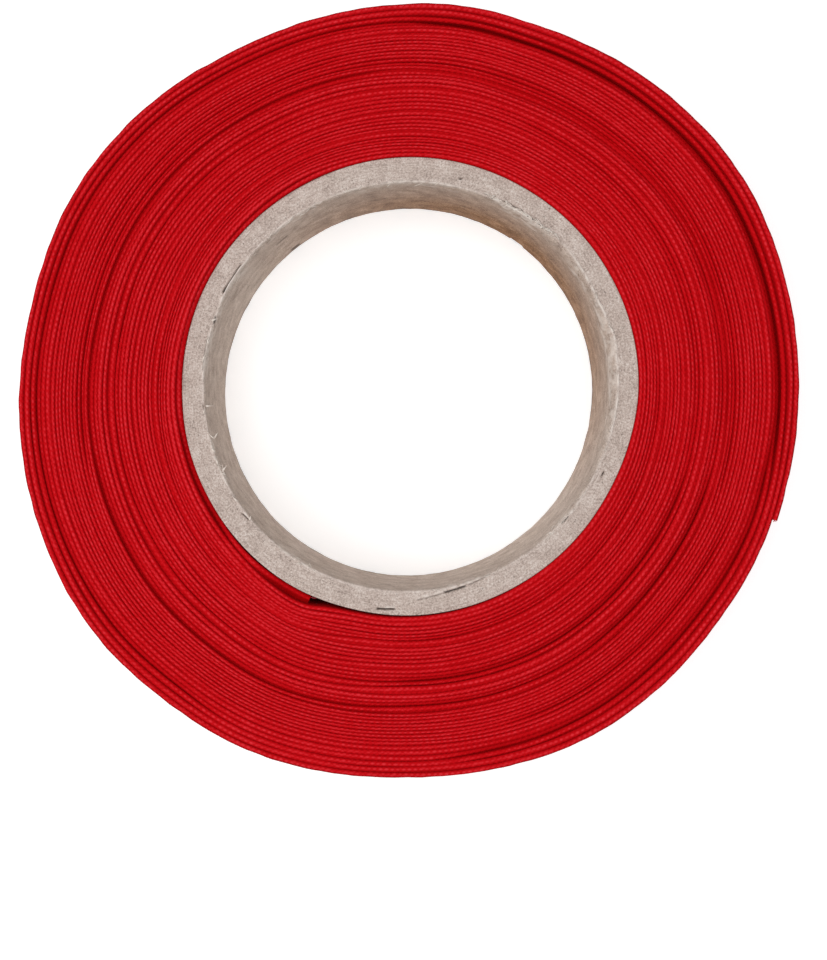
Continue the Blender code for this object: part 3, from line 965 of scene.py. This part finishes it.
def strip_section(wound):
    """The folded strip's cross-section at many places, as arrays of places by points: radius,
    height and how far across the cloth each point lies, all in millimetres. It runs along the
    cloth's right side from the lower raw edge to the upper one, and back along its wrong side."""
    inner, outer = radii(wound)
    filled = next_inner_radius(wound)
    fold_out = np.where(wound < 360, np.minimum(filled, inner + START_FOLD_MM), outer)
    length = np.interp(wound, WOUND_TABLE, LENGTH_TABLE)
    turn = np.minimum(wound // 360, TURNS - 1).astype(int)
    depth = sunk(wound)
    top = BINDING_WIDTH_MM + RISES_MM[turn] + np.interp(wound, WOUND_TABLE, NOISE_RISE) - depth
    foot = np.abs(np.interp(wound, WOUND_TABLE, NOISE_FOOT)) + UNDERSIDE_SHARE * np.maximum(depth, 0)
    lean = np.interp(wound, WOUND_TABLE, NOISE_LEAN)
    free_edge = eased((wound - WOUND_DEG + EDGE_WAVE_DEG) / EDGE_WAVE_FADE_DEG)
    edge_wave = EDGE_WAVE_MM * free_edge * np.interp(wound, WOUND_TABLE, NOISE_EDGE)
    fold_out = fold_out + edge_wave
    filled = filled + edge_wave
    thick = fold_out - inner
    ply = np.minimum(PLY_MM, thick * PLY_MOST_SHARE)
    middle = inner + thick / 2
    upper_raw = top - BINDING_WIDTH_MM + UPPER_RAW_EDGE_MM
    lower_raw = foot + LOWER_RAW_EDGE_MM
    last_turn = eased((wound - WOUND_DEG + LAST_TURN_DEG) / LAST_TURN_FADE_DEG)
    rise = FOLD_HEIGHT_MM + LAST_TURN_ROUNDER_MM * last_turn
    puckered = PUCKER_MM * last_turn * np.interp(wound, WOUND_TABLE, NOISE_PUCKER)
    columns = []

    def point(radius, height, across):
        columns.append((radius + 0 * wound, height + 0 * wound, across))

    def fold(edge, upwards, turned_deg, across):
        swung = math.radians(turned_deg)
        flat = math.cos(swung) / math.cos(math.radians(FOLD_SHOULDER_DEG))
        low = math.sin(math.radians(FOLD_SHOULDER_DEG))
        high = (math.sin(swung) - low) / (1 - low)
        point(middle + lean * (upwards > 0) + thick / 2 * flat, edge - upwards * rise * (1 - high), across)

    point(inner, lower_raw, 0.0)
    across = LOWER_RAW_EDGE_MM - FOLD_HEIGHT_MM
    point(inner, foot + rise, across)
    for turned_deg in reversed(FOLD_DEGS):
        across += FOLD_STEP_MM
        fold(foot, -1, turned_deg, across)
    slope = filled - fold_out
    across += RAW_EDGE_MM
    point(filled, foot + rise + OPENING_BELOW_MM + slope * OPENING_STEEPNESS, across)
    point(filled - np.maximum(puckered, 0), foot + LOWER_PUCKER_MM, LOWER_FOLD_MM + LOWER_PUCKER_MM)
    point(filled, lower_raw - RAW_EDGE_MM, LOWER_FOLD_MM + LOWER_RAW_EDGE_MM - RAW_EDGE_MM)
    gap_middle = (LOWER_RAW_EDGE_MM + UPPER_RAW_EDGE_MM) / 2
    furrow = FURROW_MM * (1 + last_turn)
    point(filled - furrow, foot + gap_middle, LOWER_FOLD_MM + gap_middle)
    across = LOWER_FOLD_MM + UPPER_RAW_EDGE_MM
    point(filled, upper_raw + RAW_EDGE_MM, across + RAW_EDGE_MM)
    point(filled - np.maximum(-puckered, 0), upper_raw + UPPER_PUCKER_MM, across + UPPER_PUCKER_MM)
    point(filled, top - BELOW_FOLD_MM, UPPER_FOLD_MM - BELOW_FOLD_MM)
    across = UPPER_FOLD_MM - FOLD_HEIGHT_MM - OPENING_ABOVE_MM
    point(filled, top - rise * OPENING_ABOVE_SHARE - slope * OPENING_STEEPNESS, across)
    across = UPPER_FOLD_MM - FOLD_ARC_MM / 2 - FOLD_STEP_MM / 2
    for turned_deg in FOLD_DEGS:
        across += FOLD_STEP_MM
        fold(top, 1, turned_deg, across)
    point(inner, top - rise - RAW_EDGE_MM, UPPER_FOLD_MM + FOLD_HEIGHT_MM + RAW_EDGE_MM)
    point(inner, top - BELOW_FOLD_MM, UPPER_FOLD_MM + BELOW_FOLD_MM)
    across = UPPER_FOLD_MM + BINDING_WIDTH_MM - UPPER_RAW_EDGE_MM
    point(inner, upper_raw, across)
    point(inner + ply, upper_raw, across)
    point(inner + ply, top - rise - ply, UPPER_FOLD_MM + FOLD_HEIGHT_MM)
    point(middle, top - rise - ply / 2, UPPER_FOLD_MM)
    point(fold_out - ply, top - rise - ply, UPPER_FOLD_MM - FOLD_HEIGHT_MM)
    point(fold_out - ply, foot + rise + ply, LOWER_FOLD_MM + FOLD_HEIGHT_MM)
    point(middle, foot + rise + ply / 2, LOWER_FOLD_MM)
    point(inner + ply, foot + rise + ply, LOWER_FOLD_MM - FOLD_HEIGHT_MM)
    point(inner + ply, lower_raw, 0.0)
    radius = np.stack([c[0] for c in columns], axis=1)
    height = np.stack([c[1] for c in columns], axis=1)
    return radius, height, np.array([c[2] for c in columns]), length


# The cloth's painted shade follows how far a turn has sunk, within limits.
SUNK_SHADE_LIMITS_MM = (-0.5, 1.5)
CREASE_DEG = 50


def strip_mesh(name, from_deg, to_deg, step_deg):
    """A length of the folded strip as wound, with a map of the cloth in millimetres."""
    wound = np.linspace(from_deg, to_deg, max(2, round((to_deg - from_deg) / step_deg) + 1))
    radius, height, across, length = strip_section(wound)
    points = around_axis(radius, height, (START_DEG - wound)[:, None])
    mesh = skin(name, points[::-1], closed=False)
    write_map(mesh, "cloth_map", length[::-1], across)
    depth = np.broadcast_to(sunk(wound)[::-1, None], radius.shape)
    write_share(mesh, "sunk_mm", np.clip(depth, *SUNK_SHADE_LIMITS_MM))
    mesh.set_sharp_from_angle(angle=math.radians(CREASE_DEG))
    return mesh


# Red cotton, plain weave, cut on the bias: matt, with the threads crossing the fold in both
# directions, so each fold looks like a fine cord of slanting beads. The spacings and angles are
# those of the real cloth.
THREAD_A_MM = 0.478
THREAD_A_DEG = 50
THREAD_B_MM = 0.38
THREAD_B_DEG = -57
THREAD_B_HEIGHT = 0.75
THREAD_A_SUNK = 0.65
# The gap colour stands for painted shade between threads, and the high colour for a painted highlight on
# beads and crests.
RED_GAP_SHADE = "A60004"
RED_THREAD = "C40A13"
RED_HIGHLIGHT = "DE2E37"
BEAD_ROUND = 0.8
BEAD_FLAT = 0.35
RUBBED_PATCH_MM = 9
SPUN_FIBRE_MM = 0.36
CREST_HIGHLIGHT_FROM_MM = 0.02
CREST_HIGHLIGHT_FADED_MM = 0.28
WEAVE_BUMP_MM = 0.042

# How much each thing lightens the cloth: the bead of a thread, which paints a highlight on its top
# and shade between threads, the thread that lies over, each thread's and each crossing's own shade,
# rubbed patches, spun fibres and a painted highlight on the crest of the fold. A sunk turn is
# painted a deeper red for each millimetre, as shade in its hollow.
Lightens = namedtuple("Lightens", "base bead over thread crossing patch spun crest sunk")
CLOTH_LIGHTENS = Lightens(
    base=0.12,
    bead=0.235,
    over=0.04,
    thread=0.10,
    crossing=0.06,
    patch=0.10,
    spun=0.23,
    crest=0.32,
    sunk=-0.18,
)


def wave_across(spacing_mm, towards_deg):
    """The vector whose product with the cloth map grows by pi from thread to thread."""
    turned = math.radians(towards_deg)
    return (math.pi * math.cos(turned) / spacing_mm, math.pi * math.sin(turned) / spacing_mm, 0.0)


def red_cotton_material():
    material, tree, shader = new_material("red_cotton_bias", roughness=0.9, specular=0.06)
    cloth = node(tree, "UVMap", uv_map="cloth_map")
    waves, thick, thin, numbers, shades = [], [], [], [], []
    for spacing_mm, towards_deg in ((THREAD_A_MM, THREAD_A_DEG), (THREAD_B_MM, THREAD_B_DEG)):
        inputs = {0: cloth, 1: wave_across(spacing_mm, towards_deg)}
        across = node(tree, "VectorMath", inputs, "Value", operation="DOT_PRODUCT")
        waves.append(node(tree, "Math", {0: across}, operation="SINE"))
        swell = node(tree, "Math", {0: waves[-1]}, operation="ABSOLUTE")
        thick.append(node(tree, "Math", {0: swell, 1: BEAD_ROUND}, operation="POWER"))
        thin.append(node(tree, "Math", {0: swell, 1: BEAD_FLAT}, operation="POWER"))
        count = node(tree, "Math", {0: across, 1: 1 / math.pi}, operation="MULTIPLY")
        numbers.append(node(tree, "Math", {0: count}, operation="FLOOR"))
        shades.append(node(tree, "TexWhiteNoise", {"W": numbers[-1]}, noise_dimensions="1D"))
    crossed = node(tree, "Math", {0: waves[0], 1: waves[1]}, operation="MULTIPLY")
    a_over = node(tree, "Math", {0: crossed, 1: 0.0}, operation="GREATER_THAN")
    bead_a = node(tree, "Math", {0: thick[0], 1: thin[1]}, operation="MULTIPLY")
    bead_b = node(tree, "Math", {0: thick[1], 1: thin[0]}, operation="MULTIPLY")
    bead_b = node(tree, "Math", {0: bead_b, 1: THREAD_B_HEIGHT}, operation="MULTIPLY")
    a_under = node(tree, "Math", {0: thick[0], 1: THREAD_A_SUNK}, operation="MULTIPLY")
    bead_b = node(tree, "Math", {0: bead_b, 1: a_under}, operation="MAXIMUM")
    bead = node(tree, "Mix", {"Factor": a_over, "A": bead_b, "B": bead_a})
    thread_shade = node(tree, "Mix", {"Factor": a_over, "A": shades[1], "B": shades[0]})
    crossing = node(tree, "CombineXYZ", {"X": numbers[0], "Y": numbers[1]})
    crossing_shade = node(tree, "TexWhiteNoise", {"Vector": crossing}, noise_dimensions="2D")

    place = node(tree, "TexCoord", out="Object")
    inputs = {"Vector": place, "Scale": 1 / (RUBBED_PATCH_MM * MM), "Detail": 2.0}
    patches = node(tree, "TexNoise", inputs)
    inputs = {"Vector": place, "Scale": 1 / (SPUN_FIBRE_MM * MM), "Detail": 3.0}
    spun = node(tree, "TexNoise", inputs)
    across_cloth = node(tree, "SeparateXYZ", {"Vector": cloth}, "Y")
    # A painted highlight along the crest of each fold.
    crest = 0.0
    for fold_mm in (UPPER_FOLD_MM, LOWER_FOLD_MM):
        off = node(tree, "Math", {0: across_cloth, 1: fold_mm}, operation="SUBTRACT")
        off = node(tree, "Math", {0: off}, operation="ABSOLUTE")
        inputs = {"Value": off, 1: CREST_HIGHLIGHT_FROM_MM, 2: CREST_HIGHLIGHT_FADED_MM, 3: 1.0, 4: 0.0}
        near = node(tree, "MapRange", inputs, interpolation_type="SMOOTHSTEP")
        crest = node(tree, "Math", {0: crest, 1: near}, operation="ADD")
    # Painted shade in sunk turns, darker the further a turn has sunk.
    painted_sunk_shade = node(tree, "Attribute", out="Fac", attribute_name="sunk_mm")
    lit = CLOTH_LIGHTENS.base
    for value, weight in (
        (bead, CLOTH_LIGHTENS.bead),
        (a_over, CLOTH_LIGHTENS.over),
        (thread_shade, CLOTH_LIGHTENS.thread),
        (crossing_shade, CLOTH_LIGHTENS.crossing),
        (patches, CLOTH_LIGHTENS.patch),
        (spun, CLOTH_LIGHTENS.spun),
        (crest, CLOTH_LIGHTENS.crest),
        (painted_sunk_shade, CLOTH_LIGHTENS.sunk),
    ):
        lit = node(tree, "Math", {0: value, 1: weight, 2: lit}, operation="MULTIPLY_ADD")
    stops = ((0.25, RED_GAP_SHADE), (0.72, RED_THREAD), (1.0, RED_HIGHLIGHT))
    colour = node(tree, "ValToRGB", {"Fac": lit}, stops=stops)
    tree.links.new(colour, shader.inputs["Base Color"])
    inputs = {"Height": bead, "Strength": 1.0, "Distance": WEAVE_BUMP_MM * MM}
    tree.links.new(node(tree, "Bump", inputs), shader.inputs["Normal"])
    return material


red_cotton = red_cotton_material()

# The strip is one, and is drawn in lengths that butt together.
Length = namedtuple("Length", "name to_turn step_deg")
LENGTHS = (
    Length("binding_first_turns", 7, 1.5),
    Length("binding_inner_turns", 14, 1.5),
    Length("binding_middle_turns", 21, 1.5),
    Length("binding_tight_turns", 28, 1.5),
    Length("binding_outer_turns", 35, 1.5),
    Length("binding_last_turns", TURNS, 1.0),
)
begins_deg = 0.0
laid_on = core_tube
for length in LENGTHS:
    ends_deg = min(360.0 * length.to_turn, WOUND_DEG)
    mesh = strip_mesh(length.name, begins_deg, ends_deg, length.step_deg)
    piece = stand(length.name, mesh, red_cotton)
    if laid_on == core_tube:
        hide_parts("wound_binding")
    laid_on = piece
    begins_deg = ends_deg

# Threads that have worked loose from the two cut ends. Only the free side of each end has them.
Fray = namedtuple("Fray", "wound_deg onwards threads longest_mm")
FRAYS = (
    Fray(0.0, -1, 26, 0.9),
    Fray(WOUND_DEG, 1, 12, 0.35),
)
FRAY_THICK_MM = 0.045
FRAY_SHORTEST_MM = 0.15
FRAY_POINTS = 7
FRAY_ROOT_SHARE = 0.15
FRAY_BELOW_FOLD_MM = 0.12
FRAY_DROP_SHARES = (0.05, 1.0)
FRAY_DROP_MOST_SHARE = 0.9
FRAY_IN_CLOTH_MM = 0.08
FRAY_ASIDE_MM = 0.12
FRAY_SAG_MM = 0.05
FRAY_UP_MM = 0.15
fray_chance = np.random.default_rng(5)


def frayed(fray):
    """Loose threads at a cut end, which run on past it: onwards is 1 or -1 along the strip."""
    at = np.array([fray.wound_deg, fray.wound_deg], float)
    inner, outer = (float(side[0]) for side in radii(at))
    outer = min(outer, inner + START_FOLD_MM)
    _, height, _, _ = strip_section(at)
    top = float(height[0].max())
    threads = []
    for _ in range(fray.threads):
        drop = fray_chance.uniform(*FRAY_DROP_SHARES) ** 2 * BINDING_WIDTH_MM * FRAY_DROP_MOST_SHARE
        long_mm = fray_chance.uniform(FRAY_SHORTEST_MM, fray.longest_mm)
        share = np.linspace(-FRAY_ROOT_SHARE, 1, FRAY_POINTS)
        bent = np.clip(share, 0, 1) ** 2
        start = fray_chance.uniform(inner + FRAY_IN_CLOTH_MM, outer - FRAY_IN_CLOTH_MM)
        aside = fray_chance.normal(0, FRAY_ASIDE_MM) * bent
        up = fray_chance.normal(-FRAY_SAG_MM, FRAY_UP_MM) * bent
        angle = START_DEG - fray.wound_deg - fray.onwards * np.degrees(share * long_mm / start)
        places = around_axis(start + aside, top - FRAY_BELOW_FOLD_MM - drop + up, angle)
        threads.append(hair(places, FRAY_THICK_MM))
    return threads


# Cut cotton ends: fluffier and paler than the dyed cloth, since the dye is thin inside a thread.
THREAD_GRAIN_MM = 0.3
THREAD_COLOURS = ((0.35, "B01420"), (0.65, "D0616A"))
pale_red = mottled_material("cut_cotton_thread", 0.05, THREAD_GRAIN_MM, THREAD_COLOURS)
loose = [thread for fray in FRAYS for thread in frayed(fray)]
stand("loose_threads", joined("loose_threads", loose), pale_red)

# ---- Floor, light and camera ----------------------------------------------------------------
# A table top in pale matt paint, with a little glow of its own so that it stays even. Two large
# soft lamps and a pale room light it, and the camera looks straight down.

FLOOR_MM = 3000
FLOOR_COLOUR = "F2F2F2"
FLOOR_GLOW = 0.46
ROOM_LIGHT = 0.26
floor_mesh = bpy.data.meshes.new("table_top")
half_m = FLOOR_MM * MM / 2
corners = [(x * half_m, y * half_m, 0.0) for x, y in ((-1, -1), (1, -1), (1, 1), (-1, 1))]
floor_mesh.from_pydata(corners, [], [(0, 1, 2, 3)])
floor = bpy.data.objects.new("table_top", floor_mesh)
bpy.context.scene.collection.objects.link(floor)
matt_paint, _, paint_shader = new_material("matt_pale_paint", roughness=0.9, specular=0.2)
paint_shader.inputs["Base Color"].default_value = linear(FLOOR_COLOUR)
paint_shader.inputs["Emission Color"].default_value = linear(FLOOR_COLOUR)
paint_shader.inputs["Emission Strength"].default_value = FLOOR_GLOW
floor_mesh.materials.append(matt_paint)

world = bpy.data.worlds.new("pale_room")
world.use_nodes = True
world.node_tree.nodes["Background"].inputs["Color"].default_value = (1.0, 1.0, 1.0, 1.0)
world.node_tree.nodes["Background"].inputs["Strength"].default_value = ROOM_LIGHT
bpy.context.scene.world = world

# Places and sides in metres, power in watts. Both lamps are aimed at the roll.
Lamp = namedtuple("Lamp", "name place side_m power_w")
LAMPS = (
    Lamp("overhead_lamp", (-0.04, -0.05, 0.7), 0.8, 4.25),
    Lamp("window_lamp", (-0.48, 0.10, 0.40), 0.4, 0.8),
)
for soft_lamp in LAMPS:
    lamp = bpy.data.lights.new(soft_lamp.name, "AREA")
    lamp.shape = "SQUARE"
    lamp.size = soft_lamp.side_m
    lamp.energy = soft_lamp.power_w
    stands = bpy.data.objects.new(soft_lamp.name, lamp)
    stands.location = soft_lamp.place
    stands.rotation_euler = (-Vector(soft_lamp.place)).to_track_quat("-Z", "Y").to_euler()
    bpy.context.scene.collection.objects.link(stands)

# The camera looks straight down. Its shift, a share of the longer side of the frame, sets the roll
# above the middle.
CAMERA_AT = (0.00025, -0.00677, 0.1777)
CAMERA_LENS_MM = 48.04
CAMERA_SENSOR_MM = 36.0
CAMERA_SHIFT = (0.0032291667, -0.040625)
camera_data = bpy.data.cameras.new("camera")
camera_data.lens = CAMERA_LENS_MM
camera_data.sensor_width = CAMERA_SENSOR_MM
camera_data.shift_x, camera_data.shift_y = CAMERA_SHIFT
camera_data.clip_start = 0.01
camera = bpy.data.objects.new("camera", camera_data)
camera.location = CAMERA_AT
bpy.context.scene.collection.objects.link(camera)
bpy.context.scene.camera = camera
bpy.context.scene.view_settings.view_transform = "Standard"
